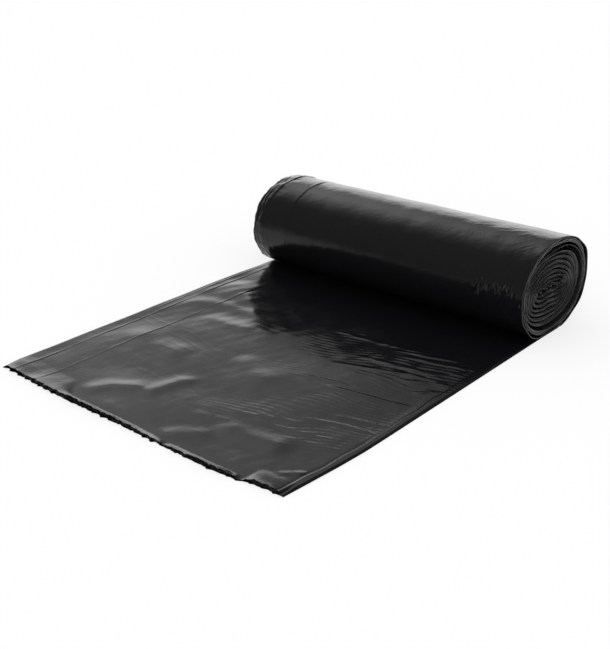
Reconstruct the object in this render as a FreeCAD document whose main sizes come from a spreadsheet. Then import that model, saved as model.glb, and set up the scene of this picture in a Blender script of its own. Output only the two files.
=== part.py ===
import FreeCAD, Part
import math
import os

from FreeCAD import Vector

# A roll of plastic refuse sacks, wound on itself without a core tube, with the leading sack rolled out.
# The sacks are one flattened film tube with torn perforations between them, so the whole roll is one web.
# X runs along the roll, +Y from the torn edge towards the roll and +Z up, in millimetres.
# The origin lies on the floor under the roll, at mid-length.

# Each driving dimension: name, value and meaning.
SIZES = [
    ("roll_length", 443.0, "length of the roll, which is the web's width with its small gathers"),
    ("near_depth", 161.0, "front to back of the roll at its loose right end"),
    ("near_height", 126.5, "height of the roll at its loose right end"),
    ("near_centre", 8.5, "how far behind the origin the middle of the roll lies at its right end"),
    ("far_depth", 143.0, "front to back of the roll at its tight left end"),
    ("far_height", 119.5, "height of the roll at its tight left end"),
    ("far_centre", 0.5, "how far behind the origin the middle of the roll lies at its left end"),
    ("floor_settle", 3.0, "how far the soft roll sinks onto its flat spot"),
    ("rim_reach", 16.0, "length of the soft rounded rim at the left end"),
    ("rim_drop", 1.5, "how far that rim falls in at its very end"),
    ("lead_length", 507.0, "origin to the left corner of the torn edge, front to back"),
    ("torn_skew", 6.0, "how much further the right corner of the torn edge lies"),
    ("torn_bow", 6.0, "how far the middle of the torn edge stands out past its corners"),
    ("lead_spread", 10.0, "how far the right side fold swings out past the end of the roll"),
    ("lead_height", 1.2, "height of the flattened sack as it lies on the floor"),
    ("band_inner", 20.0, "left end of the roll to the first lengthwise crease"),
    ("band_outer", 60.0, "left end of the roll to the second lengthwise crease"),
    ("hem_band", 9.0, "right end of the roll to the crease beside it"),
    ("crease_rise", 0.8, "how much a crease or a folded band stands up"),
    ("crease_run", 2.5, "width of the slope beside a crease"),
    ("torn_lift", 3.4, "how far the top film lifts at the torn edge"),
    ("torn_reach", 24.0, "how far back from the torn edge that lift fades"),
    ("mouth_depth", 12.0, "how far in the layers of the torn edge stand apart"),
    ("film_height", 0.5, "thickness of the layers above and below that opening"),
    ("billow_rise", 2.2, "height of the broad billows of the leading sack"),
    ("billow_span", 120.0, "length from one billow to the next"),
    ("wrinkle_rise", 0.9, "height of the fine wrinkles of the leading sack"),
    ("wrinkle_span", 36.0, "length from one wrinkle to the next"),
    ("wrinkle_slope", 0.3, "how far a wrinkle runs back for each millimetre to the right"),
    ("turn_count", 9.0, "bundles of turns that stand apart at the loose right end"),
    ("far_turn_count", 3.5, "how many of them, from outside, stand apart at the tight left end"),
    ("bundle_share", 0.74, "share of a bundle's pitch that film fills, the rest being the gap"),
    ("loose_turn", 2.1, "turn, counted from outside, where the winding is loosest"),
    ("loose_gap", 5.0, "extra width of the gap at the loosest turn"),
    ("first_bundle", 4.5, "thickness of the outermost bundle of turns"),
    ("core_width", 52.0, "width of the flattened middle of the roll"),
    ("core_height", 3.0, "height of the flattened middle of the roll"),
    ("gap_depth", 14.0, "how deep the gaps between the bundles reach in from the ends"),
    ("tie_pitch", 15.0, "spacing of the torn perforation ties"),
    ("tie_width", 5.0, "width of a tie at its root"),
    ("tie_reach", 2.2, "how far a torn tie stands out"),
    ("trim", 1.0, "how far a shape or a cut is drawn past the surface where it ends"),
    ("cut_reach", 40.0, "how far a cut that trims the sack's outline is drawn past it"),
]

# Shape constants without a unit of length.
FLAT_ROUND = 0.35  # how round the sides of the flattest turns are
FULL_ROUND = 0.84  # how round the sides of a turn as high as it is deep are
LOOSE_REACH = 0.8  # how many turns the loose winding spreads over
LEAD_SPAN_COUNT = 9  # stretches of the leading sack between its creases and its hem
ROLL_SPAN_COUNT = 12  # stretches of the roll between its creases and its loose end
LEAD_STEP_COUNT = 25  # points on the top of the leading sack, front to back
CROWD = 1.2  # how much those points crowd towards the torn edge
MOUTH_STEP_COUNT = 8  # points on the top of an opening in the torn edge
MOUTHS = [(-0.43, 0.13), (0.145, 0.375), (0.4, 0.49)]  # the openings, in shares of the roll's length
CLOSED = 0.15  # how far the layers stay apart where an opening ends, in shares of the sack's height
SIDE_FADE = 0.12  # share of the web's width over which the billows fade at each side
END_FADE = 0.4  # share of a billow over which they fade at the torn edge and at the roll
RIGHT_CALM = 0.35  # share of the billows' height at the right side
LEFT_CALM = 0.4  # share of the wrinkles' height at the left side
CREASE_FOOT = 0.3  # share of a crease's rise that stays between the two creases
FOLD_SWING = [(0, 0), (0.1, 0), (0.24, 0.45), (0.42, 0.62), (0.66, 1), (0.78, 0.8), (1, 0.3)]  # way, swing
LEFT_SWING = 0.35  # how much of that swing the left side fold has
TIE_PROFILE = [(-1, 0), (-0.4, 1), (0.5, 0.8), (1, 0)]  # a torn tie: half widths across, shares out
TIE_VARIETY = 0.35  # how much the torn ties differ in reach
NIP = 0.6  # where the open wedge in front of the roll ends, in half depths of the roll


def make_sheet(doc):
    """The spreadsheet that holds every driving dimension."""
    sheet = doc.addObject("Spreadsheet::Sheet", "sizes")
    for row, (name, value, meaning) in enumerate(SIZES, start=1):
        sheet.set(f"A{row}", meaning)
        sheet.set(f"B{row}", str(value))
        sheet.setAlias(f"B{row}", name)
    doc.recompute()
    return sheet


def plane_of(body, role):
    """One of the body's own origin planes."""
    return next(plane for plane in body.Origin.OriginFeatures if plane.Role == role)


def new_sketch(body, name, role, place, draw):
    """A sketch on an origin plane, moved along its normal by a formula, with wires drawn for that place."""
    sketch = body.newObject("Sketcher::SketchObject", name)
    sketch.AttachmentSupport = [(plane_of(body, role), "")]
    sketch.MapMode = "FlatFace"
    sketch.setExpression("AttachmentOffset.Base.z", place)
    sketch.recompute()
    for curves in draw(sketch.AttachmentOffset.Base.z):
        sketch.addGeometry(curves, False)
    return sketch


def spline(points):
    """A smooth curve through points of a sketch."""
    curve = Part.BSplineCurve()
    curve.interpolate(Points=[Vector(u, v, 0) for u, v in points])
    return curve


def line(a, b):
    """A straight edge of a sketch."""
    return Part.LineSegment(Vector(*a, 0), Vector(*b, 0))


def polygon(points):
    """A closed wire of straight edges."""
    return [line(a, b) for a, b in zip(points, points[1:] + points[:1])]


def arc(centre, start, end):
    """A round edge of a sketch about a centre, less than half a circle long."""
    radius = math.dist(centre, start)
    across = start[0] + end[0] - 2 * centre[0]
    up = start[1] + end[1] - 2 * centre[1]
    reach = radius / math.hypot(across, up)
    middle = (centre[0] + across * reach, centre[1] + up * reach)
    return Part.Arc(Vector(*start, 0), Vector(*middle, 0), Vector(*end, 0))


def half_oval(side, hub_line, across, low, middle, high, foot=None):
    """Three arcs that make one side of an oval, from the bottom or a foot above it to the top."""
    small = min(across, middle - low, high - middle)
    small *= FLAT_ROUND + (FULL_ROUND - FLAT_ROUND) * small / across
    hub = (hub_line + side * (across - small), middle)
    ends = []
    for end in (low, high):
        half = abs(end - middle)
        large = (across**2 + half**2 - 2 * across * small) / (2 * (half - small))
        centre = (hub_line, end + math.copysign(large, middle - end))
        reach = small / math.dist(hub, centre)
        joint = (hub[0] + (hub[0] - centre[0]) * reach, hub[1] + (hub[1] - centre[1]) * reach)
        ends.append((centre, joint))
    (below, first), (above, second) = ends
    start = (hub_line, low)
    if foot is not None:
        start = (hub_line + side * math.sqrt((below[1] - low) ** 2 - (below[1] - foot) ** 2), foot)
    top = (hub_line, high)
    return [arc(below, start, first), arc(hub, first, second), arc(above, second, top)], start


def smooth(value):
    """A step from 0 to 1 without corners."""
    value = min(max(value, 0.0), 1.0)
    return value * value * (3 - 2 * value)


def blend(a, b, share):
    """A value on the way from one to the other."""
    return a + (b - a) * share


def between(start, end, count):
    """Formulas of evenly spaced places after one place and up to another."""
    return [f"({start}) + (({end}) - ({start})) * {i} / {count}" for i in range(1, count + 1)]


class Web:
    """The shape of the web, with every length read from the spreadsheet."""

    def __init__(self, sheet):
        for name, _, _ in SIZES:
            setattr(self, name, float(sheet.get(name)))
        self.half = self.roll_length / 2

    def share_along(self, x):
        """0 at the left end of the roll and 1 at the right one."""
        return x / self.roll_length + 0.5

    def half_sizes(self, x, rise=0.0):
        """The middle of the roll front to back, and half its depth and height, at a place along it."""
        share = self.share_along(x)
        centre = blend(self.far_centre, self.near_centre, share)
        depth = blend(self.far_depth, self.near_depth, share)
        height = blend(self.far_height, self.near_height, share)
        drop = self.rim_drop * (1 - smooth((x + self.half) / self.rim_reach))
        return centre, depth / 2 + rise - drop, (height + rise - drop) / 2

    def roll_front(self, x):
        """The front of the roll at a place along it."""
        centre, half_depth, _ = self.half_sizes(x)
        return centre - half_depth

    def torn_edge(self, x):
        """Where the torn edge lies, front to back, at a place across the web."""
        share = self.share_along(x)
        return -(self.lead_length + self.torn_skew * share + self.torn_bow * math.sin(math.pi * share))

    def torn_rise(self, x, along):
        """How much the top film lifts at a distance behind the torn edge."""
        middle = max(math.sin(math.pi * self.share_along(x)), 0.0)
        return self.torn_lift * middle**0.5 * math.exp(-along / self.torn_reach)

    def relief(self, x, y):
        """Billows and wrinkles of the leading sack, which fade out at its edges and at the roll."""
        share = self.share_along(x)
        along = y - self.torn_edge(x)
        fade = END_FADE * self.billow_span
        sides = smooth(share / SIDE_FADE) * smooth((1 - share) / SIDE_FADE)
        ends = smooth((along - self.mouth_depth) / fade) * smooth((self.roll_front(x) - y) / fade)
        wave = 0.5 + 0.5 * math.sin(2 * math.pi * (along - 0.5 * x) / self.billow_span)
        phase = (along - self.wrinkle_slope * x) / self.wrinkle_span
        ripple = 0.5 + 0.5 * math.sin(2 * math.pi * phase + 1.5 * math.sin(x / self.wrinkle_span))
        right = smooth(share * 2 - 0.5)
        billow = self.billow_rise * wave * blend(1, RIGHT_CALM, right)
        wrinkle = self.wrinkle_rise * ripple * blend(LEFT_CALM, 1, right)
        return (billow + wrinkle) * sides * ends

    def lead_top(self, x, y, rise):
        """Height of the top of the leading sack."""
        along = y - self.torn_edge(x)
        return self.lead_height + rise + self.torn_rise(x, along) + self.relief(x, y)

    def oval(self, x, level, rise=0.0):
        """The middle line, half the depth, the bottom, the middle and the top of the oval at a level."""
        centre, half_depth, half_height = self.half_sizes(x, rise)
        settle = self.floor_settle / 2
        reach = (half_height + settle) * level
        middle = half_height - settle
        return centre, blend(self.core_width / 2, half_depth, level), middle - reach, middle, middle + reach

    def lead_section(self, x, rise):
        """The closed outline of the leading sack at a place across the web, in Y and Z."""
        flat = (self.roll_front(x), self.lead_height + rise)
        edge = self.torn_edge(x) - 2 * self.tie_reach
        shares = [i / LEAD_STEP_COUNT for i in range(LEAD_STEP_COUNT)]
        stops = [blend(edge, flat[0], share**CROWD) for share in shares]
        top = [(y, self.lead_top(x, y, rise)) for y in stops] + [flat]
        back = [(0.0, -self.trim), (0.0, flat[1])]
        front = (edge, -self.trim)
        outline = [line(front, back[0]), line(*back), line(back[1], flat)]
        return outline + [spline(top[::-1]), line(top[0], front)]

    def roll_section(self, x, rise):
        """The closed outline of the roll at a place along it, in Y and Z."""
        sizes = self.oval(x, 1.0, rise)
        back, back_foot = half_oval(1, *sizes, foot=-self.trim)
        front, front_foot = half_oval(-1, *sizes, foot=-self.trim)
        return [line(front_foot, back_foot)] + back + front[::-1]

    def crease_stations(self):
        """Places around the two lengthwise creases, as formulas, with the rise there."""
        first = "-sizes.roll_length / 2 + sizes.band_inner"
        second = "-sizes.roll_length / 2 + sizes.band_outer"
        run = "sizes.crease_run"
        rise = self.crease_rise
        low = CREASE_FOOT * rise
        places = [(f"{first} - {run}", 0.0), (first, rise), (f"{first} + {run}", low)]
        return places + [(f"{second} - {run}", low), (second, rise), (f"{second} + {run}", 0.0)]

    def lead_stations(self):
        """Places across the leading sack to draw its outline at, with the rise there."""
        hem = "sizes.roll_length / 2 - sizes.hem_band"
        left = [("-sizes.roll_length / 2 - sizes.lead_spread", 0.0)]
        creases = self.crease_stations()
        middle = between(creases[-1][0], f"{hem} - sizes.crease_run", LEAD_SPAN_COUNT)
        right = [(hem, self.crease_rise), ("sizes.roll_length / 2 + sizes.cut_reach / 2", self.crease_rise)]
        return left + creases + [(place, 0.0) for place in middle] + right

    def roll_stations(self):
        """Places along the roll to draw its outline at, with the rise there."""
        end = "-sizes.roll_length / 2"
        creases = self.crease_stations()
        flare = between(creases[-1][0], "sizes.roll_length / 2", ROLL_SPAN_COUNT)
        rim = [(end, 0.0), (f"{end} + sizes.rim_reach / 2", 0.0)]
        return rim + creases + [(place, 0.0) for place in flare]

    def side_folds(self):
        """Two wires, seen from above, that trim the leading sack to its side folds."""
        start = -self.near_depth / 2
        reach = self.lead_length + self.torn_skew + self.torn_bow + self.cut_reach + start
        wires = []
        for side, swing in ((-1, LEFT_SWING), (1, 1.0)):
            spread = swing * self.lead_spread
            edge = [(side * (self.half + spread * s), start - reach * p) for p, s in FOLD_SWING]
            back = (edge[0][0], self.near_depth)
            far = side * (self.half + self.lead_spread + self.cut_reach)
            corners = [edge[-1], (far, edge[-1][1]), (far, back[1]), back, edge[0]]
            wires.append([spline(edge)] + [line(a, b) for a, b in zip(corners, corners[1:])])
        return wires

    def perforation(self):
        """The line that the sack was torn along, seen from above, closed far in front of it."""
        reach = self.half + self.lead_spread + self.cut_reach / 2
        root = self.tie_width / 2
        points = []
        for i in range(int(2 * reach / self.tie_pitch)):
            x = -reach + (i + 0.5) * self.tie_pitch
            out = self.tie_reach * (1 - TIE_VARIETY + TIE_VARIETY * math.sin(2.4 * i))
            points += [(x + step * root, self.torn_edge(x) - share * out) for step, share in TIE_PROFILE]
        front = self.torn_edge(0.0) - self.torn_bow - self.cut_reach
        return polygon(points + [(points[-1][0], front), (points[0][0], front)])

    def mouth(self, start, end, y):
        """The opening between the torn layers at one distance from the roll, in X and Z."""
        top = []
        for i in range(MOUTH_STEP_COUNT + 1):
            x = blend(start, end, i / MOUTH_STEP_COUNT)
            along = y - self.torn_edge(x)
            room = self.lead_height + self.torn_rise(x, along) - 2 * self.film_height
            open_share = math.sin(math.pi * i / MOUTH_STEP_COUNT) ** 0.5
            top.append((x, self.film_height + max(room * open_share, CLOSED * self.lead_height)))
        low = [(start, self.film_height), (end, self.film_height)]
        return [line(low[0], low[1]), line(low[1], top[-1]), spline(top[::-1]), line(top[0], low[0])]

    def level(self, turn):
        """The gap's way from the core to the outside of the roll, and the pitch of the bundles."""
        half_height = self.near_height / 2
        outer = 1 - self.first_bundle / half_height
        inner = self.core_height / self.near_height
        loose = self.loose_gap / half_height
        pitch = (outer - inner - loose) / self.turn_count
        step = smooth((turn - self.loose_turn) / LOOSE_REACH / 2 + 0.5)
        thin = (self.first_bundle - 1.5 * self.lead_height) / half_height * (1 - smooth(turn / 0.4))
        return outer + thin - pitch * turn - loose * step, pitch

    def gap_oval(self, x, turn, side):
        """The oval that one side of the gap follows at a turn: side 1 is outside and -1 inside."""
        level, pitch = self.level(turn)
        away = (turn - self.loose_turn) / LOOSE_REACH
        gap = pitch * (1 - self.bundle_share)
        gap += self.loose_gap / (self.near_height / 2) * math.exp(-away * away)
        centre, across, low, middle, high = self.oval(x, level + side * gap / 2)
        return centre, across, max(low, self.lead_height * (1.8 - side / 2)), middle, high

    def gap_side(self, x, count, side):
        """One side of the spiral gap, from the open wedge in front of the roll to its middle."""
        centre, half_depth, _ = self.half_sizes(x)
        low = self.gap_oval(x, 0.0, side)[2]
        start = (centre - NIP * half_depth, low)
        edges = [line(start, (centre, low))]
        for half_turn in range(int(round(2 * count))):
            turns = [half_turn / 2 + share for share in (0.0, 0.25, 0.5)]
            first, widest, last = [self.gap_oval(x, turn, side) for turn in turns]
            rising = half_turn % 2 == 0
            low, high = (first[2], last[4]) if rising else (last[2], first[4])
            arcs, _ = half_oval(1 if rising else -1, centre, widest[1], low, widest[3], high)
            edges += arcs if rising else arcs[::-1]
            end = (centre, high if rising else low)
        return edges, start, end

    def gap(self, x, count):
        """The closed outline of a spiral gap of so many turns at one end of the roll, in Y and Z."""
        outside, outer_start, outer_end = self.gap_side(x, count, 1)
        inside, inner_start, inner_end = self.gap_side(x, count, -1)
        return outside + [line(outer_end, inner_end)] + inside[::-1] + [line(inner_start, outer_start)]


def hide(sketches):
    """Sketches that a feature has used are switched off."""
    for sketch in sketches:
        sketch.Visibility = False


def add_loft(doc, body, kind, name, sections):
    """An adding or cutting loft through sketches, straight from one to the next."""
    loft = body.newObject(kind, name)
    loft.Profile = sections[0]
    loft.Sections = sections[1:]
    loft.Ruled = True
    hide(sections)
    doc.recompute()


def add_pocket(doc, body, name, sketch, length, towards_plus=False):
    """A cut from a sketch into the body, with its length given as a formula."""
    pocket = body.newObject("PartDesign::Pocket", name)
    pocket.Profile = sketch
    pocket.Reversed = towards_plus
    pocket.setExpression("Length", length)
    hide([sketch])
    doc.recompute()


def add_sections(body, name, stations, outline):
    """Outlines across the web, one sketch at each station."""
    sections = []
    for i, (place, rise) in enumerate(stations):
        draw = lambda x, rise=rise: [outline(x, rise)]
        sections.append(new_sketch(body, f"{name}_{i}", "YZ_Plane", place, draw))
    return sections


def add_lead(doc, body, web):
    """The leading sack as it lies, trimmed to its side folds."""
    sections = add_sections(body, "lead_section", web.lead_stations(), web.lead_section)
    add_loft(doc, body, "PartDesign::AdditiveLoft", "lead", sections)
    draw = lambda height: web.side_folds()
    sketch = new_sketch(body, "side_fold_lines", "XY_Plane", "sizes.near_height", draw)
    add_pocket(doc, body, "side_folds", sketch, "sizes.near_height * 2")


def add_torn_edge(doc, body, web):
    """The torn ties along the perforation and the layers that stand apart behind them."""
    draw = lambda height: [web.perforation()]
    sketch = new_sketch(body, "perforation_line", "XY_Plane", "sizes.near_height", draw)
    add_pocket(doc, body, "perforation", sketch, "sizes.near_height * 2")
    front = "sizes.lead_length + sizes.torn_skew + sizes.torn_bow + sizes.tie_reach"
    back = "sizes.lead_length - sizes.mouth_depth"
    for i, (start, end) in enumerate(MOUTHS):
        span = (start * web.roll_length, end * web.roll_length)
        draw = lambda distance, span=span: [web.mouth(*span, -distance)]
        lines = []
        for place, formula in (("front", front), ("back", back)):
            lines.append(new_sketch(body, f"mouth_{place}_{i}", "XZ_Plane", formula, draw))
        add_loft(doc, body, "PartDesign::SubtractiveLoft", f"mouth_{i}", lines)


def add_roll(doc, body, web):
    """The wound part of the web, without the gaps between its turns, and the flat that it all rests on."""
    sections = add_sections(body, "roll_section", web.roll_stations(), web.roll_section)
    add_loft(doc, body, "PartDesign::AdditiveLoft", "roll", sections)
    side = web.half + web.lead_spread + web.cut_reach
    front = web.torn_edge(0.0) - web.cut_reach
    back = web.near_depth
    draw = lambda height: [polygon([(-side, front), (side, front), (side, back), (-side, back)])]
    sketch = new_sketch(body, "floor_lines", "XY_Plane", "0", draw)
    add_pocket(doc, body, "floor", sketch, "sizes.trim * 2")


def add_ends(doc, body, web):
    """The gaps between the turns at both ends of the roll."""
    near = "sizes.roll_length / 2 + sizes.trim"
    far = "-sizes.roll_length / 2 - sizes.trim"
    for name, place, count in (("near_gaps", near, web.turn_count), ("far_gaps", far, web.far_turn_count)):
        draw = lambda x, count=count: [web.gap(x, count)]
        sketch = new_sketch(body, f"{name}_lines", "YZ_Plane", place, draw)
        add_pocket(doc, body, name, sketch, "sizes.gap_depth + sizes.trim", towards_plus=place == far)


def check(doc):
    """Every object is in order and every shape is valid."""
    for item in doc.Objects:
        faults = [state for state in item.State if state in ("Invalid", "Error")]
        if faults:
            raise RuntimeError(f"{item.Name} is {faults} {item.getStatusString()}")
        if item.TypeId.startswith("PartDesign::") and hasattr(item, "Shape"):
            if item.Shape.isNull() or not item.Shape.isValid():
                raise RuntimeError(f"{item.Name} has no valid shape")


def main():
    doc = FreeCAD.newDocument("sack_roll")
    sheet = make_sheet(doc)
    web = Web(sheet)
    body = doc.addObject("PartDesign::Body", "bag_roll")
    body.Label = "bag_roll"
    add_lead(doc, body, web)
    add_torn_edge(doc, body, web)
    add_roll(doc, body, web)
    add_ends(doc, body, web)
    check(doc)
    os.makedirs("parts", exist_ok=True)
    body.Shape.exportStep("parts/bag_roll.step")


main()
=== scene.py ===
import math

import bpy
import numpy as np
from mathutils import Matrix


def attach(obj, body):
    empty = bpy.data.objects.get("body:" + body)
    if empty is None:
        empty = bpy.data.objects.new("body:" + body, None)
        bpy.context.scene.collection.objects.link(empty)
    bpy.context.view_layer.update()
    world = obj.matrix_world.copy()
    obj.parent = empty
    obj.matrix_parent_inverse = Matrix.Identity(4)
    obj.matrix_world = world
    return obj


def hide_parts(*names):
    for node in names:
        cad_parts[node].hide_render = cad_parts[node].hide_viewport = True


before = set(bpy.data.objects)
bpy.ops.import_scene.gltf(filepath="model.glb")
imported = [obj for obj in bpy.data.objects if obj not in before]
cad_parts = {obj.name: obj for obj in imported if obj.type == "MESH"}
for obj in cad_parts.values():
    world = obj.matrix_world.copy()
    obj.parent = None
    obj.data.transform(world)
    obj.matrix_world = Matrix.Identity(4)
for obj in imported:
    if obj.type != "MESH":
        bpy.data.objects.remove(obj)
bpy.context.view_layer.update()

# A roll of black refuse sacks with its leading sack rolled out on a pale floor.
# Shapes are worked out in millimetres in the frame's axes and turned into metres as each mesh is made.
# X runs along the roll, +Y from the torn edge towards the roll and +Z up.

MM = 0.001
TURN = 2 * math.pi

# The roll.
ROLL_LENGTH = 443.0
HALF = ROLL_LENGTH / 2
NEAR_DEPTH = 161.0  # front to back at its right end
NEAR_HEIGHT = 126.5
NEAR_CENTRE = 8.5  # how far behind the origin the roll's middle lies there
FAR_DEPTH = 143.0  # the same three at its left end
FAR_HEIGHT = 119.5
FAR_CENTRE = 0.5
FLOOR_SETTLE = 3.0  # how far the soft roll sinks onto its flat spot
RIM_REACH = 16.0  # length of the soft rounded rim at the left end
RIM_PUCKER = 38.0  # how far the gathers of that rim reach along the roll
RIM_DROP = 1.5  # how far that rim falls in
CORE_HALF = 26.0  # half the width of the flattened middle
FILM = 0.8  # thickness of one wound turn
INNER_FILM = 0.62  # the same further in, where the turns lie closer
CORE_FILM = 0.4  # the same in the crumpled core
LOOSE_FILM = 1.35  # the same for a few turns together, in the loose band inside the outermost turn
TURN_LENGTH = 430.0  # rough length of film in the outermost turn
OUTER_COLUMNS = 184  # points along the roll in the outermost turn
OUTER_ROWS = 250  # points round it
OUTER_END = 1.3  # turns after which it ends, inside the nip
INNER_START = 1.18  # turns after which the inner ribbon begins, a little before that
TURN_STEP = 3.6  # how far apart the points along the inner turns lie

# How the inner turns lie. A level is how far out they are: 1 on the outline and 0 at the core.
LOOSE_END = 4.2  # turns before the wide recess
LOOSE_LEVEL = 0.866  # level of the last of them
BUNDLE_START = 4.7  # turns before the first bundle, on the far side of the recess
BUNDLE_LEVEL = 0.73  # level at which that bundle begins
BUNDLE = 4.0  # turns that lie close together before the next gap
BUNDLE_COUNT = 7
BUNDLE_SHARE = 0.053  # how much of the level one bundle takes up
BUNDLE_GAP = 0.046  # how much of it the gap after a bundle takes up
LAST_TURN = BUNDLE_START + BUNDLE * BUNDLE_COUNT

# The leading sack.
LEAD_HEIGHT = 1.2  # height of its top before anything lifts it
LEAD_FILM = 0.45  # thickness of the films round its open mouth
TUCK = 26.0  # how far behind the origin the sack ends, where the outermost turn takes over
LEFT_FOLD = -222.0  # where its side folds lie on the whole
RIGHT_FOLD = 226.0
LEFT_BAND = -203.0  # inner edge of the folded band along its left side
FOLD_LINE = -214.0  # the crease inside that band
SECOND_BAND = -162.0  # the second lengthwise crease
BAND_RISE = 0.28  # how far the folded band stands up
HEM_BAND = 9.0  # width of the hem along its right side
HEM_RISE = 0.45  # how far that hem stands up
TIE_STEP = 13.0  # how far apart the torn ties stand along the torn edge
TORN_REACH = 9.0  # how far behind the torn edge its lifted lip reaches, at the least
TORN_LIFT = 6.2  # how far that lip is lifted where the layers stand apart most
MOUTH_DEPTH = 14.0  # depth of the open mouth there
LAYER_FILM = 0.24  # thickness of the inner layers that show in that mouth
SACK_COLUMNS = 186  # points across the sack, apart from four more at each side fold
TOP_ROWS = 424  # points along its top
MOUTH_ROWS = 5  # points along the roof of the mouth, and as many along its floor
LOW_ROWS = 14  # points along its underside

# The colour of the film; and a lighter copy of the same film for the inner turns and the layers in the torn
# mouth, painted light that makes their edges read grey.
BLACK = (0.005, 0.005, 0.006)
PAINTED_LIGHT_BLACK = (0.02, 0.02, 0.021)

# The studio: a soft lamp high on the left behind the roll, a bright backdrop under it and a dim room.
LAMP_HEADING = -58.0  # degrees from +Y towards +X
LAMP_HEIGHT = 38.0  # degrees above the floor
LAMP_FOCUS = 20.0  # power of the cosine by which the lamp falls off round its middle
LAMP_LIGHT = 1.05
BACKDROP_HEADING = -45.0  # degrees from +Y towards +X
BACKDROP_LIGHT = 1.5
DIM_SIDE = 0.15  # light of the room in every direction

# The floor and the photograph's viewpoint, in metres and degrees.
FLOOR_REACH = 6.0
FLOOR_GAP = 0.0002  # how far the floor lies under the sack
CAMERA_PLACE = (0.9341, -1.3056, 0.6522)
CAMERA_DOWN = 23.70  # how far it looks down
CAMERA_TURN = 40.59  # how far it looks to the left of +Y
CAMERA_LENS = 69.69  # in millimetres, for a picture 36 mm wide


# Numbers and noise.

def smooth(value):
    """A step from 0 to 1 without corners."""
    value = np.clip(value, 0.0, 1.0)
    return value * value * (3 - 2 * value)


def blend(a, b, share):
    return a + (b - a) * share


def waves(x, y, span, seed, count=7):
    """Smooth irregular noise of about -1 to 1 whose bumps are about half a span wide."""
    rng = np.random.default_rng(seed)
    total = np.zeros(np.broadcast(x, y).shape)
    for _ in range(count):
        heading = rng.uniform(0, TURN)
        pace = TURN / (span * rng.uniform(0.7, 1.5))
        total = total + np.sin(pace * (x * math.cos(heading) + y * math.sin(heading)) + rng.uniform(0, TURN))
    return total / count**0.5 / 1.3


def ridge(x, y, points, width, fade=0.25):
    """1 along a line of points, falling to 0 at about a width beside it and fading at its ends."""
    best = np.full(np.broadcast(x, y).shape, 1e9)
    place = np.zeros_like(best)
    lengths = [math.dist(a, b) for a, b in zip(points, points[1:])]
    done = 0.0
    for (a, b), length in zip(zip(points, points[1:]), lengths):
        along = np.array([b[0] - a[0], b[1] - a[1]]) / length
        run = np.clip((x - a[0]) * along[0] + (y - a[1]) * along[1], 0, length)
        gap = np.hypot(x - a[0] - run * along[0], y - a[1] - run * along[1])
        nearer = gap < best
        best = np.where(nearer, gap, best)
        place = np.where(nearer, done + run, place)
        done += length
    ends = smooth(place / done / fade) * smooth((1 - place / done) / fade)
    return np.exp(-((best / width) ** 2)) * ends


def crowd(low, high, count, zones, share=2.5):
    """Places from low to high that lie closer together inside the zones."""
    line = np.linspace(low, high, 4000)
    density = np.ones_like(line)
    for start, end in zones:
        density = density + share * smooth((line - start) / 4 + 0.5) * smooth((end - line) / 4 + 0.5)
    total = np.cumsum(density)
    return np.interp(np.linspace(0, 1, count), (total - total[0]) / (total[-1] - total[0]), line)


# Meshes.

def add_mesh(name, points, faces, material):
    """A smooth-shaded mesh object from points in millimetres, which rides on the part and has a material."""
    mesh = bpy.data.meshes.new(name)
    mesh.from_pydata((np.asarray(points) * MM).tolist(), [], faces)
    mesh.polygons.foreach_set("use_smooth", [True] * len(mesh.polygons))
    mesh.materials.append(material)
    mesh.validate()
    mesh.update()
    piece = bpy.data.objects.new(name, mesh)
    bpy.context.scene.collection.objects.link(piece)
    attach(piece, "root")
    return piece


def grid_faces(rows, columns, start=0, flip=False):
    """The quads of a grid of points numbered row by row."""
    i, j = np.meshgrid(np.arange(rows - 1), np.arange(columns - 1), indexing="ij")
    a = start + i * columns + j
    quads = np.stack([a, a + 1, a + columns + 1, a + columns], axis=-1).reshape(-1, 4)
    return (quads[:, ::-1] if flip else quads).tolist()


def shell(outer, inner):
    """Points and faces of a closed film between two grids of points of the same size."""
    rows, columns, _ = outer.shape
    count = rows * columns
    faces = grid_faces(rows, columns) + grid_faces(rows, columns, count, flip=True)
    for j, flip in ((0, False), (columns - 1, True)):
        for i in range(rows - 1):
            a = i * columns + j
            quad = [a, a + columns, a + columns + count, a + count]
            faces.append(quad[::-1] if flip else quad)
    for i, flip in ((0, True), (rows - 1, False)):
        for j in range(columns - 1):
            a = i * columns + j
            quad = [a, a + 1, a + 1 + count, a + count]
            faces.append(quad if flip else quad[::-1])
    return np.concatenate([outer.reshape(-1, 3), inner.reshape(-1, 3)]), faces


def join(points, faces, film):
    """Adds the points and faces of a film to lists of them."""
    more, quads = film
    base = len(points)
    points.extend(more.tolist())
    faces.extend([[v + base for v in quad] for quad in quads])


# The leading sack.

def torn_edge(x):
    """Where the torn edge lies, front to back, at a place across the web."""
    places = [-230, -200, -150, -100, 0, 50, 130, 168, 186, 205, 235]
    edges = [-507, -509, -513, -515, -516, -518, -520, -518, -513, -511.5, -513]
    return np.interp(x, places, edges)


def teeth(x, seed):
    """How far the torn ties and rags stand out in front of that edge."""
    tie = np.maximum(np.sin(TURN * (x + 3 * np.sin(x / 31 + seed)) / TIE_STEP), 0) ** 0.7
    rag = waves(x, 0 * x, 9.0, seed) * 0.7 + waves(x, 0 * x, 4.5, seed + 1) * 0.45
    return 1.9 * tie * (0.65 + 0.35 * np.sin(x * 0.37 + seed)) + 1.2 * rag


def left_side(y):
    """The left side fold of the leading sack."""
    return np.interp(y, [-520, -300, -120, -60, 30], [-224.5, -222.5, -221, -220, -220.5])


def right_side(y):
    """The right side fold of the leading sack."""
    places = [-520, -500, -450, -400, -350, -300, -250, -200, -150, -103, -60, 30]
    return np.interp(y, places, [226, 227, 230, 232, 231, 228.5, 226.5, 226.5, 225, 221.5, 222, 221])


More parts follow.
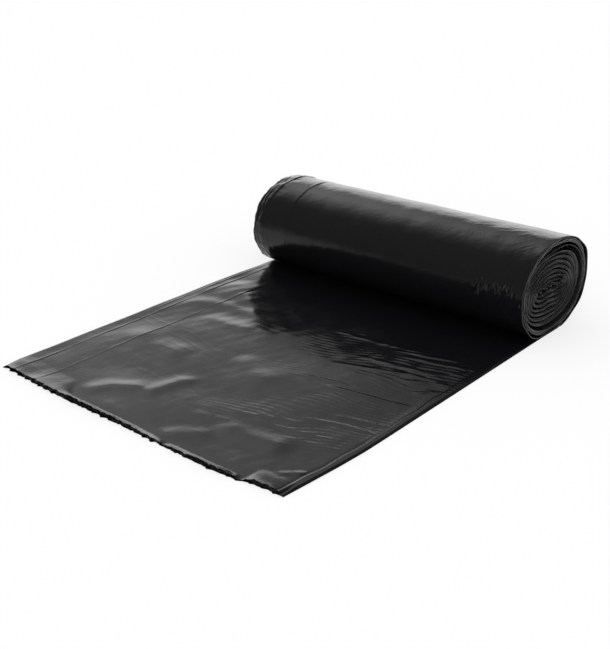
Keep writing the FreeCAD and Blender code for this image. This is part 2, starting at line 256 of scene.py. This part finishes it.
def parted(x):
    """How far the layers of the torn edge stand apart at a place across the web, from 0 to 1."""
    total = 0 * x
    for start, end, share in ((-222, 59, 1.0), (63, 168, 0.85), (176, 222, 0.85)):
        run = np.clip((x - start) / (end - start), 0, 1)
        total = total + share * np.sin(math.pi * run) ** 0.35
    return total * (0.86 + 0.14 * waves(x, 0 * x, 40, 11))


# Billows of the leading sack: height, width and the line that each one follows.
BILLOWS = [
    (1.8, 12.5, [(-96, -500), (-94, -478), (-84, -462), (-66, -450), (-44, -438)]),
    (1.5, 11.5, [(-42, -462), (-38, -430), (-32, -400), (-18, -378)]),
    (1.2, 15.0, [(-205, -245), (-190, -222), (-168, -206), (-130, -198), (-75, -196)]),
    (0.8, 12.0, [(-150, -246), (-100, -244), (-60, -234)]),
    (1.1, 13.0, [(36, -524), (58, -490), (88, -462)]),
    (2.0, 18.0, [(66, -448), (120, -446), (180, -440)]),
    (1.4, 16.0, [(-200, -120), (-170, -160), (-120, -185)]),
    (0.5, 6.0, [(28, -446), (60, -440), (84, -430)]),
    (1.4, 22.0, [(-190, -330), (-140, -350), (-70, -340)]),
    (1.2, 20.0, [(-30, -300), (20, -330), (60, -340)]),
]

# Wrinkles of its right half: height, width and line.
WRINKLES = [
    (0.25, 3.4, [(62, -416), (100, -400), (160, -382)]),
    (0.2, 3.4, [(80, -421), (140, -405), (205, -392)]),
    (0.7, 3.2, [(95, -303), (160, -290), (226, -274)]),
    (0.5, 3.0, [(50, -300), (110, -286), (150, -284)]),
    (0.9, 3.4, [(60, -250), (110, -234), (160, -217), (220, -205)]),
    (0.7, 3.0, [(70, -214), (130, -206), (200, -196)]),
    (0.6, 3.0, [(8, -171), (70, -165), (120, -158), (150, -144)]),
    (0.8, 3.0, [(100, -173), (150, -160), (200, -140)]),
    (0.7, 3.0, [(120, -178), (170, -170), (226, -150)]),
    (0.8, 3.4, [(160, -236), (195, -216), (222, -206)]),
    (0.7, 3.0, [(190, -252), (205, -236), (224, -222)]),
    (0.2, 3.4, [(140, -425), (190, -412), (228, -408)]),
    (0.8, 3.4, [(192, -488), (206, -474), (222, -462)]),
    (0.5, 2.6, [(150, -352), (190, -340), (226, -330)]),
    (0.5, 2.6, [(130, -378), (180, -360), (228, -352)]),
]


def pleats(phase):
    """Narrow ridges with flat film between them, one for each turn of the phase."""
    return np.exp(2.6 * (np.sin(phase) - 1))


def crease(x, place, width):
    """1 on a line, falling to 0 at about a width beside it."""
    return np.exp(-(((x - place) / width) ** 2))


def ripples(x, y, near_roll):
    """Fine slanting wrinkles, on the right half of the leading sack for the most part."""
    right = smooth((x + 30) / 130)
    swing = y - 0.27 * x + 7 * waves(x, y, 170, 3) + 2.2 * waves(x, y, 55, 4)
    patch = smooth(0.55 + 0.9 * waves(x * 0.6, y, 90, 5))
    calm_front = 0.15 + 0.85 * smooth((y + 450) / 45)
    folds = 0.35 * crease(swing, -428, 17) * smooth((x - 30) / 40)
    share = np.clip(0.66 * patch + 0.6 * near_roll + folds, 0, 1.1)
    rise = 0.33 * right * calm_front * share * pleats(TURN * swing / 7.6)
    cross = y - 0.42 * x + 5 * waves(x, y, 120, 14)
    rise = rise + 0.3 * right * near_roll * pleats(TURN * cross / 7.5)
    flow = y + 0.1 * x + 9 * waves(x, y, 130, 6)
    return rise + 0.09 * (1 - right) * pleats(TURN * flow / 15) * smooth(waves(x * 0.7, y, 90, 7))


def sack_relief(x, y):
    """Everything that stands up on the leading sack, apart from its bands, hem and torn edge."""
    near_roll = smooth((y + 270) / 60) * smooth((-90 - y) / 40)
    total = ripples(x, y, near_roll)
    for height, width, points in BILLOWS + WRINKLES:
        total = total + height * ridge(x, y, points, width)
    total = total + 1.25 * waves(x, y, 200, 8) + 0.34 * waves(x, y, 80, 9)
    return total + (0.05 + 0.11 * near_roll) * waves(x, y, 22, 10)


def creases(x, fold=1.0):
    """The height of the folded bands and the lengthwise creases at a place across the web."""
    band = BAND_RISE * smooth((LEFT_BAND - x) / 2.4 + 0.5)
    line = 0.2 * crease(x, LEFT_BAND - 1, 1.4) + 0.3 * fold * crease(x, FOLD_LINE, 1.2)
    second = 0.2 * crease(x, SECOND_BAND, 1.6) + 0.2 * smooth((SECOND_BAND - x) / 4 + 0.5)
    return band + line + second


def torn_lip(x, along):
    """How far the film is lifted at a distance behind the torn edge."""
    reach = TORN_REACH + 29 * smooth((-100 - x) / 30) + 19 * smooth((x - 165) / 15)
    return TORN_LIFT * parted(x) * np.clip(1 - along / reach, 0, 1) ** 1.3


def hem(x, y):
    """Height of the hem along the right side fold, and of the crease beside it."""
    inset = right_side(y) - x
    width = HEM_BAND * (1 + 0.12 * waves(y, 0 * y, 60, 13))
    rise = HEM_RISE * smooth((width - inset) / 2.2 + 0.5) - 0.2 * crease(inset, width + 1.6, 1.4)
    return np.maximum(rise * smooth((-110 - y) / 40), -0.35)


def sack_top(x, y):
    """Height of the top of the leading sack."""
    along = np.maximum(y - torn_edge(x), 0)
    calm = smooth(along / 22) * smooth((-48 - y) / 60)
    sides = smooth((x - left_side(y)) / 20) * smooth((right_side(y) - x - 6) / 12)
    base = 1.1 + 0.5 * smooth((LEFT_BAND - x) / 22)
    rise = (sack_relief(x, y) * (0.25 + 0.75 * sides) + base) * calm
    shift = 0.8 + 0.4 * waves(x, y, 120, 12)
    bands = creases(x, smooth((y + 300) / 90)) * shift * smooth((-40 - y) / 30)
    height = LEAD_HEIGHT + torn_lip(x, along) + np.maximum(rise, -0.4) + bands + hem(x, y)
    inset = np.minimum(x - left_side(y), right_side(y) - x)
    round_side = np.sqrt(np.clip(1 - (1 - np.clip(inset / 1.6, 0, 1)) ** 2, 0, 1))
    return np.maximum(height * (0.3 + 0.7 * round_side), LEAD_FILM * 1.3)


def sack_loop(shares):
    """Round the leading sack at each place across it: over its top, into its mouth and back under it."""
    # The points of the top crowd a little towards the torn edge.
    run = 1 - (1 - np.linspace(0, 1, TOP_ROWS)) ** 1.12
    inside = np.linspace(0, 1, MOUTH_ROWS)[None, :]
    middle = blend(LEFT_FOLD, RIGHT_FOLD, shares)[:, None]
    top_edge = torn_edge(middle) - teeth(middle, 21)
    low_edge = torn_edge(middle) - teeth(middle, 22) - 0.4
    mouth = MOUTH_DEPTH * (0.35 + 0.65 * np.clip(parted(middle), 0, 1))
    top_y = blend(TUCK, top_edge, run[None, :])
    under_y = blend(top_edge, top_edge + mouth, inside)
    over_y = blend(top_edge + mouth, low_edge, inside)
    low_y = blend(low_edge, TUCK, np.linspace(0, 1, LOW_ROWS)[None, :])
    y = np.concatenate([top_y, under_y, over_y, low_y], axis=1)
    x = blend(left_side(y), right_side(y), shares[:, None])
    tops = sack_top(x[:, :TOP_ROWS + MOUTH_ROWS], y[:, :TOP_ROWS + MOUTH_ROWS])
    under = np.maximum(tops[:, TOP_ROWS:] - LEAD_FILM, LEAD_FILM + 0.08)
    floor = np.zeros_like(low_y)
    z = np.concatenate([tops[:, :TOP_ROWS], under, np.full_like(over_y, LEAD_FILM), floor], axis=1)
    return np.stack([x, y, z], axis=-1)


def side_shares():
    """Places across the web, 0 to 1, that crowd at the side folds, the creases and the hem."""
    zones = [(-224, -198), (-168, -157), (212, 228)]
    left = LEFT_FOLD - 0.5
    inner = (crowd(left + 3, RIGHT_FOLD - 2.5, SACK_COLUMNS, zones) - left) / (RIGHT_FOLD - left)
    edge = np.array([0, 0.0006, 0.0014, 0.0028])
    return np.concatenate([edge, inner, 1 - edge[::-1]])


def make_sack(material):
    """The leading sack: one closed film, folded at its sides, with an open mouth at its torn edge."""
    loop = sack_loop(side_shares())
    rows, columns, _ = loop.shape
    faces = []
    # One column more than there are, and the last of them is taken back to the first to close the loop.
    for quad in grid_faces(rows, columns + 1):
        faces.append([v // (columns + 1) * columns + v % (columns + 1) % columns for v in quad])
    faces.append(list(range(columns)))
    faces.append([(rows - 1) * columns + j for j in range(columns)][::-1])
    return add_mesh("leading_sack", loop.reshape(-1, 3), faces, material)


def make_inner_layers(material):
    """Thin films of the inner layers, which show in the open mouth of the torn edge."""
    points = []
    faces = []
    for start, end in ((-188, 54), (68, 162), (180, 217)):
        for level, seed in ((0.33, 31), (0.66, 32)):
            x = np.arange(start, end, 1.6)[:, None]
            front = torn_edge(x) - teeth(x, seed) * 0.8 + 0.6
            y = blend(front, torn_edge(x) + MOUTH_DEPTH * 0.8, np.linspace(0, 1, 7)[None, :])
            room = sack_top(x + 0 * y, y) - 2 * LEAD_FILM
            swell = level + 0.16 * waves(x, y, 26, seed)
            z = LEAD_FILM + room * np.clip(swell, 0.12, 0.86)
            upper = np.stack([x + 0 * y, y, z + LAYER_FILM / 2], axis=-1)
            lower = np.stack([x + 0 * y, y, z - LAYER_FILM / 2], axis=-1)
            join(points, faces, shell(upper[::-1], lower[::-1]))
    return add_mesh("inner_layers", points, faces, material)


# The wound turns.

def half_sizes(x):
    """The middle of the roll front to back, and half its depth and height, at a place along it."""
    share = x / ROLL_LENGTH + 0.5
    drop = RIM_DROP * (1 - smooth((x + HALF) / RIM_REACH))
    centre = blend(FAR_CENTRE, NEAR_CENTRE, share)
    depth = blend(FAR_DEPTH, NEAR_DEPTH, share) / 2 - drop
    height = (blend(FAR_HEIGHT, NEAR_HEIGHT, share) - drop) / 2
    return centre, depth, height


def wound(x, turn, level, rise=0.0, lowest=0.0):
    """Points on a turn, which runs from the bottom up the back, over the top and down the front."""
    centre, depth, height = half_sizes(x)
    settle = FLOOR_SETTLE / 2
    angle = TURN * turn
    # The ovals grow squarer towards the flattened core.
    square = 0.93 - 0.15 * (1 - np.clip(level, 0, 1)) ** 2
    across = np.sin(angle)
    up = -np.cos(angle)
    y = (CORE_HALF + (depth - CORE_HALF) * level) * np.sign(across) * np.abs(across) ** square
    z = (height + settle) * level * np.sign(up) * np.abs(up) ** square
    reach = np.hypot(y, z) + 1e-6
    y = y * (1 + rise / reach)
    z = z * (1 + rise / reach) + height - settle
    # A turn comes down on what it lies on in a soft curve, without a corner.
    soft = 1.2
    above = z - lowest
    z = lowest + soft * (np.logaddexp(0, above / soft) - math.log(2) * np.exp(-np.abs(above)))
    return np.stack(np.broadcast_arrays(x, y + centre, np.maximum(z, lowest)), axis=-1)


def turn_level(turn):
    """The level of the winding after a number of turns."""
    knots = [(0, 1.0), (1.0, 0.985), (1.35, 0.955), (LOOSE_END, LOOSE_LEVEL), (BUNDLE_START, BUNDLE_LEVEL)]
    place, level = knots[-1]
    for _ in range(BUNDLE_COUNT):
        knots.append((place + 0.9 * BUNDLE, level - BUNDLE_SHARE))
        knots.append((place + BUNDLE, level - BUNDLE_SHARE - BUNDLE_GAP))
        place, level = knots[-1]
    places, levels = zip(*knots)
    return np.interp(turn, places, levels)


def front_crinkles(x, along, turn):
    """A patch of sharp crinkles near the right end of the roll, halfway up its front."""
    patch = smooth((turn - 0.675) / 0.04) * smooth((0.775 - turn) / 0.03) * smooth((x - 115) / 50)
    return 1.7 * patch * waves(x, along * 0.4, 7, 44) * smooth(0.7 + waves(x, along, 24, 55))


def top_streaks(x, along, turn):
    """Fine slanting streaks on the right half of the roll's top."""
    top = smooth((turn - 0.3) / 0.1) * smooth((0.64 - turn) / 0.08)
    slant = along + 0.55 * x + 11 * waves(x, along, 80, 45)
    share = smooth((x - 40) / 160) * top * smooth(0.6 + waves(x, along, 70, 49))
    return 0.32 * share * pleats(TURN * slant / 10)


def rim_gathers(x, along):
    """Gathers of the rim at the left end of the roll, and two folds that run round it."""
    rim = smooth((RIM_PUCKER - x - HALF) / RIM_PUCKER)
    rise = 0.95 * rim * (waves(x * 0.3, along + 0.8 * x, 24, 47) + 0.45 * waves(x * 0.5, along, 10, 48))
    for gap, depth, seed in ((5.0, 0.6, 50), (11.0, 0.4, 53)):
        fold = -HALF + gap + 3.0 * waves(along, 0 * along, 60, seed)
        rise = rise - depth * crease(x, fold, 1.1)
    return rise


def outer_relief(x, turn):
    """Bands, waves and wrinkles on the outside of the roll."""
    along = turn * TURN_LENGTH
    crest = 0.6 + 2.4 * smooth((turn - 0.3) / 0.1) * smooth((0.68 - turn) / 0.08)
    rise = creases(x) * crest * (0.75 + 0.25 * waves(x, along, 90, 41))
    rise = rise + 0.34 * waves(x, along, 120, 42) + 0.16 * waves(x, along * 0.35, 36, 43)
    rise = rise + 0.8 * smooth((x - HALF + 12) / 12) * waves(x * 0.2, along, 46, 46)
    return rise + front_crinkles(x, along, turn) + top_streaks(x, along, turn) + rim_gathers(x, along)


def turn_floor(turn):
    """The lowest that a turn may lie: on the floor behind, on the leading sack and earlier turns in front."""
    whole = np.floor(turn + 0.25)
    return 0.05 + 0.95 * whole + 1.6 * smooth((turn - 0.6) / 0.2)


def make_outer_turn(material):
    """The outermost turn, from under the roll round its back and top to the nip at its front."""
    zones = [(-222, -200), (-166, -158), (150, 222)]
    shares = (crowd(-HALF, HALF, OUTER_COLUMNS, zones, 2.4) / ROLL_LENGTH + 0.5)[None, :]
    turns = blend(blend(0.05, 0.03, shares), OUTER_END, np.linspace(0, 1, OUTER_ROWS)[:, None])
    along = turns * TURN_LENGTH
    left = -HALF + 0.9 * waves(along, 0 * turns, 38, 51) + 0.5 * waves(along, 0 * turns, 11, 54) + 0.7
    right = HALF + 0.9 + 1.0 * waves(along, 0 * turns, 60, 52) - 3.0 * smooth((turns - 1.0) / 0.1)
    right = blend(right_side(TUCK) - 0.3, right, smooth((turns - 0.07) / 0.14))
    x = blend(left, right, shares)
    level = turn_level(turns)
    fade = 1 - smooth((turns - 0.98) / 0.05)
    rise = outer_relief(x, turns) * smooth((turns - 0.06) / 0.05) * fade
    lowest = turn_floor(turns)
    outer = wound(x, turns, level, rise, lowest)
    inner = wound(x, turns, level, rise - FILM, lowest + FILM)
    return add_mesh("outer_turn", *shell(outer[:, ::-1], inner[:, ::-1]), material)


def crumple(points, level):
    """Pushes the inner turns out of true, all of them together so that none cross."""
    share = smooth((0.76 - level) / 0.5)
    x, y, z = (points[..., i] for i in range(3))
    below = 0.25 + 0.75 * smooth((66 - z) / 14)
    y2 = y + share * (1.6 * np.sin(z / 8.0 + 0.6) + 0.5 * np.sin(z / 3.9 + y / 21))
    z2 = z + share * (1.9 * np.sin(y / 13.0 + 1.1) + 0.55 * below * np.sin(y / 4.3 + z / 17 + x / 60))
    sunk = smooth((0.8 - level) / 0.09)
    return np.stack([x, y2 - 3.0 * sunk, z2 - 1.0 * sunk], axis=-1)


def add_core(points, faces):
    """Adds the crumpled start of the film, in the slit in the middle of the roll."""
    centre, _, height = half_sizes(HALF)
    for place, seed in ((-3.2, 71), (-1.0, 72), (1.2, 73), (3.2, 74)):
        y = np.linspace(-25, 25, 90)[:, None]
        front = HALF - 7.5 + 2.6 * waves(y, 0 * y, 14, seed)
        x = blend(front - 40, front, np.array([0, 0.7, 0.93, 1.0])[None, :])
        z = 0.8 * place * (1 - (y / 34) ** 2) + 0.9 * np.sin(y / 2.1 + seed) * smooth((x - HALF + 30) / 20)
        upper = np.stack(np.broadcast_arrays(x, y + centre, height - FLOOR_SETTLE / 2 + z), axis=-1)
        upper = crumple(upper, np.zeros_like(z))
        lower = upper - np.array([0, 0, CORE_FILM])
        join(points, faces, shell(upper, lower))


def inner_places():
    """Places along the inner turns, in turns, that lie about one step apart."""
    turns = [INNER_START]
    while turns[-1] < LAST_TURN:
        # Half the depth of the turn there, and 5.2 times that is about its length.
        reach = CORE_HALF + 51 * float(turn_level(turns[-1]))
        turns.append(turns[-1] + TURN_STEP / (5.2 * reach))
    return np.array(turns)[:, None]


def turn_edges(turns, level):
    """How far the edge of each inner turn lies behind the right end, and inside the left end."""
    along = turns * 140
    noise = waves(along, 0 * turns, 33, 61) + 0.6 * waves(along, 0 * turns, 12, 62)
    fine = 0.5 * waves(along, 0 * turns, 5, 64)
    saw = ((turns - BUNDLE_START) / BUNDLE) % 1.0
    sunk = 1.0 + 3.0 * smooth((0.9 - level) / 0.3) + 1.8 * (2 * saw - 0.9) ** 2 * (level < 0.7)
    sunk = sunk + 2.0 * smooth((0.25 - level) / 0.2)
    right = sunk - 0.7 * noise - fine
    left = 2.5 * smooth((0.86 - level) / 0.3) - 1.3 + 0.8 * noise + fine
    return left, right


def make_inner_turns(material):
    """All the other turns, wound as one long ribbon from the nip to the crumpled core."""
    turns = inner_places()
    level = turn_level(turns)
    left, right = turn_edges(turns, level)
    inset = np.array([0, 0.7, 4, 12, 34])
    x = np.concatenate([left - HALF + inset[None, :], HALF - right - inset[None, ::-1]], axis=1)
    # The loose turns sag away from the outermost one in front, most of all at the right end.
    loose = crease(turns, 2.6, 1.7) * smooth((x + 60) / 200)
    front = np.maximum(-np.sin(TURN * turns), 0) ** 2
    level = level - 0.09 * loose * front
    rise = 0.3 * waves(turns * 400, x, 60, 63) * smooth((0.97 - level) / 0.1)
    rim = np.concatenate([[-0.2, 0.08, 0, 0, 0], [0, 0, 0, 0.08, -0.2]])[None, :]
    lowest = np.minimum(turn_floor(turns), 4.5) + 0 * x
    film = INNER_FILM + (LOOSE_FILM - INNER_FILM) * smooth((level - 0.84) / 0.02)
    outer = crumple(wound(x, turns, level, rise + rim, lowest), level)
    inner = crumple(wound(x, turns, level, rise - rim - film, lowest + film), level)
    points = []
    faces = []
    join(points, faces, shell(outer[:, ::-1], inner[:, ::-1]))
    add_core(points, faces)
    return add_mesh("inner_turns", points, faces, material)


# Materials.

def node(tree, kind, **values):
    """A shader node with its inputs or properties set by name."""
    made = tree.nodes.new(kind)
    for name, value in values.items():
        if name in made.inputs:
            made.inputs[name].default_value = value
        else:
            setattr(made, name, value)
    return made


def ramp(tree, value, start, end, low, high, kind="SMOOTHSTEP"):
    """A step of a value, from low at its start to high at its end."""
    step = node(tree, "ShaderNodeMapRange", interpolation_type=kind)
    step.inputs["From Min"].default_value = start
    step.inputs["From Max"].default_value = end
    step.inputs["To Min"].default_value = low
    step.inputs["To Max"].default_value = high
    tree.links.new(value, step.inputs["Value"])
    return step.outputs["Result"]


def combine(tree, operation, first, second):
    """The sum, product, power or the like of two values."""
    made = node(tree, "ShaderNodeMath", operation=operation)
    for socket, value in zip(made.inputs, (first, second)):
        if isinstance(value, float):
            socket.default_value = value
        else:
            tree.links.new(value, socket)
    return made.outputs[0]


def mixed(tree, share, first, second):
    """The first shader, or as much of the second as the share says."""
    mix = node(tree, "ShaderNodeMixShader")
    tree.links.new(share, mix.inputs["Fac"])
    tree.links.new(first, mix.inputs[1])
    tree.links.new(second, mix.inputs[2])
    return mix.outputs[0]


def film_material(name, colour, rough, bump, shine=0.5):
    """Black blown film: glossy, with faint machine streaks and fine crinkles."""
    material = bpy.data.materials.new(name)
    material.use_nodes = True
    tree = material.node_tree
    surface = tree.nodes["Principled BSDF"]
    surface.inputs["Base Color"].default_value = (*colour, 1)
    surface.inputs["IOR"].default_value = 1.5
    surface.inputs["Specular IOR Level"].default_value = shine
    place = node(tree, "ShaderNodeTexCoord")
    fine = node(tree, "ShaderNodeTexNoise", Scale=260.0, Detail=4.0, Roughness=0.55)
    stretch = node(tree, "ShaderNodeMapping", Scale=(1.0, 0.35, 0.35))
    tree.links.new(place.outputs["Object"], stretch.inputs["Vector"])
    tree.links.new(stretch.outputs["Vector"], fine.inputs["Vector"])
    broad = node(tree, "ShaderNodeTexNoise", Scale=38.0, Detail=3.0, Roughness=0.6)
    tree.links.new(place.outputs["Object"], broad.inputs["Vector"])
    gloss = ramp(tree, broad.outputs["Fac"], 0.3, 0.7, rough * 0.75, rough * 1.3, "LINEAR")
    tree.links.new(gloss, surface.inputs["Roughness"])
    first = node(tree, "ShaderNodeBump", Strength=bump, Distance=0.0005)
    second = node(tree, "ShaderNodeBump", Strength=bump, Distance=0.003)
    tree.links.new(fine.outputs["Fac"], first.inputs["Height"])
    tree.links.new(broad.outputs["Fac"], second.inputs["Height"])
    tree.links.new(second.outputs["Normal"], first.inputs["Normal"])
    tree.links.new(first.outputs["Normal"], surface.inputs["Normal"])
    return material


def floor_material():
    """White paper that keeps a faint shadow, and that the film mirrors dim in front and bright behind."""
    material = bpy.data.materials.new("studio_paper")
    material.use_nodes = True
    tree = material.node_tree
    surface = tree.nodes["Principled BSDF"]
    surface.inputs["Base Color"].default_value = (0.99, 0.99, 0.99, 1)
    surface.inputs["Roughness"].default_value = 0.9
    surface.inputs["Specular IOR Level"].default_value = 0.0
    glow = node(tree, "ShaderNodeEmission", Strength=1.0)
    glow.inputs["Color"].default_value = (1, 1, 1, 1)
    path = node(tree, "ShaderNodeLightPath")
    share = combine(tree, "MULTIPLY", path.outputs["Is Camera Ray"], 0.7)
    paper = mixed(tree, share, surface.outputs[0], glow.outputs[0])
    place = node(tree, "ShaderNodeTexCoord")
    parts = node(tree, "ShaderNodeSeparateXYZ")
    tree.links.new(place.outputs["Object"], parts.inputs[0])
    mirrored = node(tree, "ShaderNodeEmission")
    light = ramp(tree, parts.outputs["Y"], -0.6, 0.5, DIM_SIDE * 1.3, 1.15, "LINEAR")
    tree.links.new(light, mirrored.inputs["Strength"])
    last = mixed(tree, path.outputs["Is Glossy Ray"], paper, mirrored.outputs[0])
    tree.links.new(last, tree.nodes["Material Output"].inputs["Surface"])
    return material


# The studio.

def heading_share(tree, place, heading, height):
    """How far each direction points towards a heading and height, as a cosine."""
    aim = node(tree, "ShaderNodeVectorMath", operation="DOT_PRODUCT")
    level = math.cos(math.radians(height))
    east = level * math.sin(math.radians(heading))
    north = level * math.cos(math.radians(heading))
    aim.inputs[1].default_value = (east, north, math.sin(math.radians(height)))
    tree.links.new(place, aim.inputs[0])
    return aim.outputs["Value"]


def studio_strength(tree):
    """How bright the studio is in each direction, as the film mirrors it."""
    place = node(tree, "ShaderNodeTexCoord").outputs["Generated"]
    parts = node(tree, "ShaderNodeSeparateXYZ")
    tree.links.new(place, parts.inputs[0])
    towards_lamp = combine(tree, "MAXIMUM", heading_share(tree, place, LAMP_HEADING, LAMP_HEIGHT), 0.0)
    lamp = combine(tree, "MULTIPLY", combine(tree, "POWER", towards_lamp, LAMP_FOCUS), LAMP_LIGHT)
    low = ramp(tree, parts.outputs["Z"], 0.28, 0.44, BACKDROP_LIGHT, 0.0)
    near = ramp(tree, heading_share(tree, place, BACKDROP_HEADING, 0.0), 0.3, 0.75, 0.0, 1.0)
    both = combine(tree, "ADD", lamp, combine(tree, "MULTIPLY", low, near))
    return combine(tree, "ADD", both, DIM_SIDE)


def make_world():
    """White behind the object, and a soft studio round it."""
    world = bpy.data.worlds.new("studio")
    bpy.context.scene.world = world
    world.use_nodes = True
    tree = world.node_tree
    tree.nodes.clear()
    output = node(tree, "ShaderNodeOutputWorld")
    shine = node(tree, "ShaderNodeBackground")
    soft = node(tree, "ShaderNodeBackground", Strength=1.0)
    white = node(tree, "ShaderNodeBackground", Strength=1.0)
    for shade in (shine, soft, white):
        shade.inputs["Color"].default_value = (1, 1, 1, 1)
    tree.links.new(studio_strength(tree), shine.inputs["Strength"])
    path = node(tree, "ShaderNodeLightPath")
    lit = mixed(tree, path.outputs["Is Glossy Ray"], soft.outputs[0], shine.outputs[0])
    seen = mixed(tree, path.outputs["Is Camera Ray"], lit, white.outputs[0])
    tree.links.new(seen, output.inputs["Surface"])


def make_floor():
    """The pale floor that everything rests on."""
    mesh = bpy.data.meshes.new("floor")
    corners = [(a * FLOOR_REACH, b * FLOOR_REACH, 0) for a, b in ((-1, -1), (1, -1), (1, 1), (-1, 1))]
    mesh.from_pydata(corners, [], [(0, 1, 2, 3)])
    floor = bpy.data.objects.new("floor", mesh)
    floor.location.z = -FLOOR_GAP
    bpy.context.scene.collection.objects.link(floor)
    mesh.materials.append(floor_material())


def make_camera():
    """The photograph's viewpoint."""
    data = bpy.data.cameras.new("camera")
    data.lens = CAMERA_LENS
    data.sensor_width = 36.0
    data.clip_start = 0.05
    data.clip_end = 60.0
    camera = bpy.data.objects.new("camera", data)
    camera.location = CAMERA_PLACE
    camera.rotation_euler = (math.radians(90 - CAMERA_DOWN), 0, math.radians(CAMERA_TURN))
    bpy.context.scene.collection.objects.link(camera)
    bpy.context.scene.camera = camera


def main():
    make_camera()
    make_world()
    make_floor()
    film = film_material("black_film", BLACK, rough=0.17, bump=0.3)
    sack_film = film_material("sack_film", BLACK, rough=0.17, bump=0.12, shine=0.36)
    # A lighter copy of the black film: painted light that makes the edges of the inner turns and of the
    # mouth's layers read grey.
    painted_light_film = film_material("painted_light_film", PAINTED_LIGHT_BLACK, rough=0.19, bump=0.3, shine=0.75)
    sack = make_sack(sack_film)
    layers = make_inner_layers(painted_light_film)
    outer = make_outer_turn(film)
    turns = make_inner_turns(painted_light_film)
    for piece in (sack, layers, outer, turns):
        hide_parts("bag_roll")
    bpy.context.scene.view_settings.view_transform = "Standard"


main()
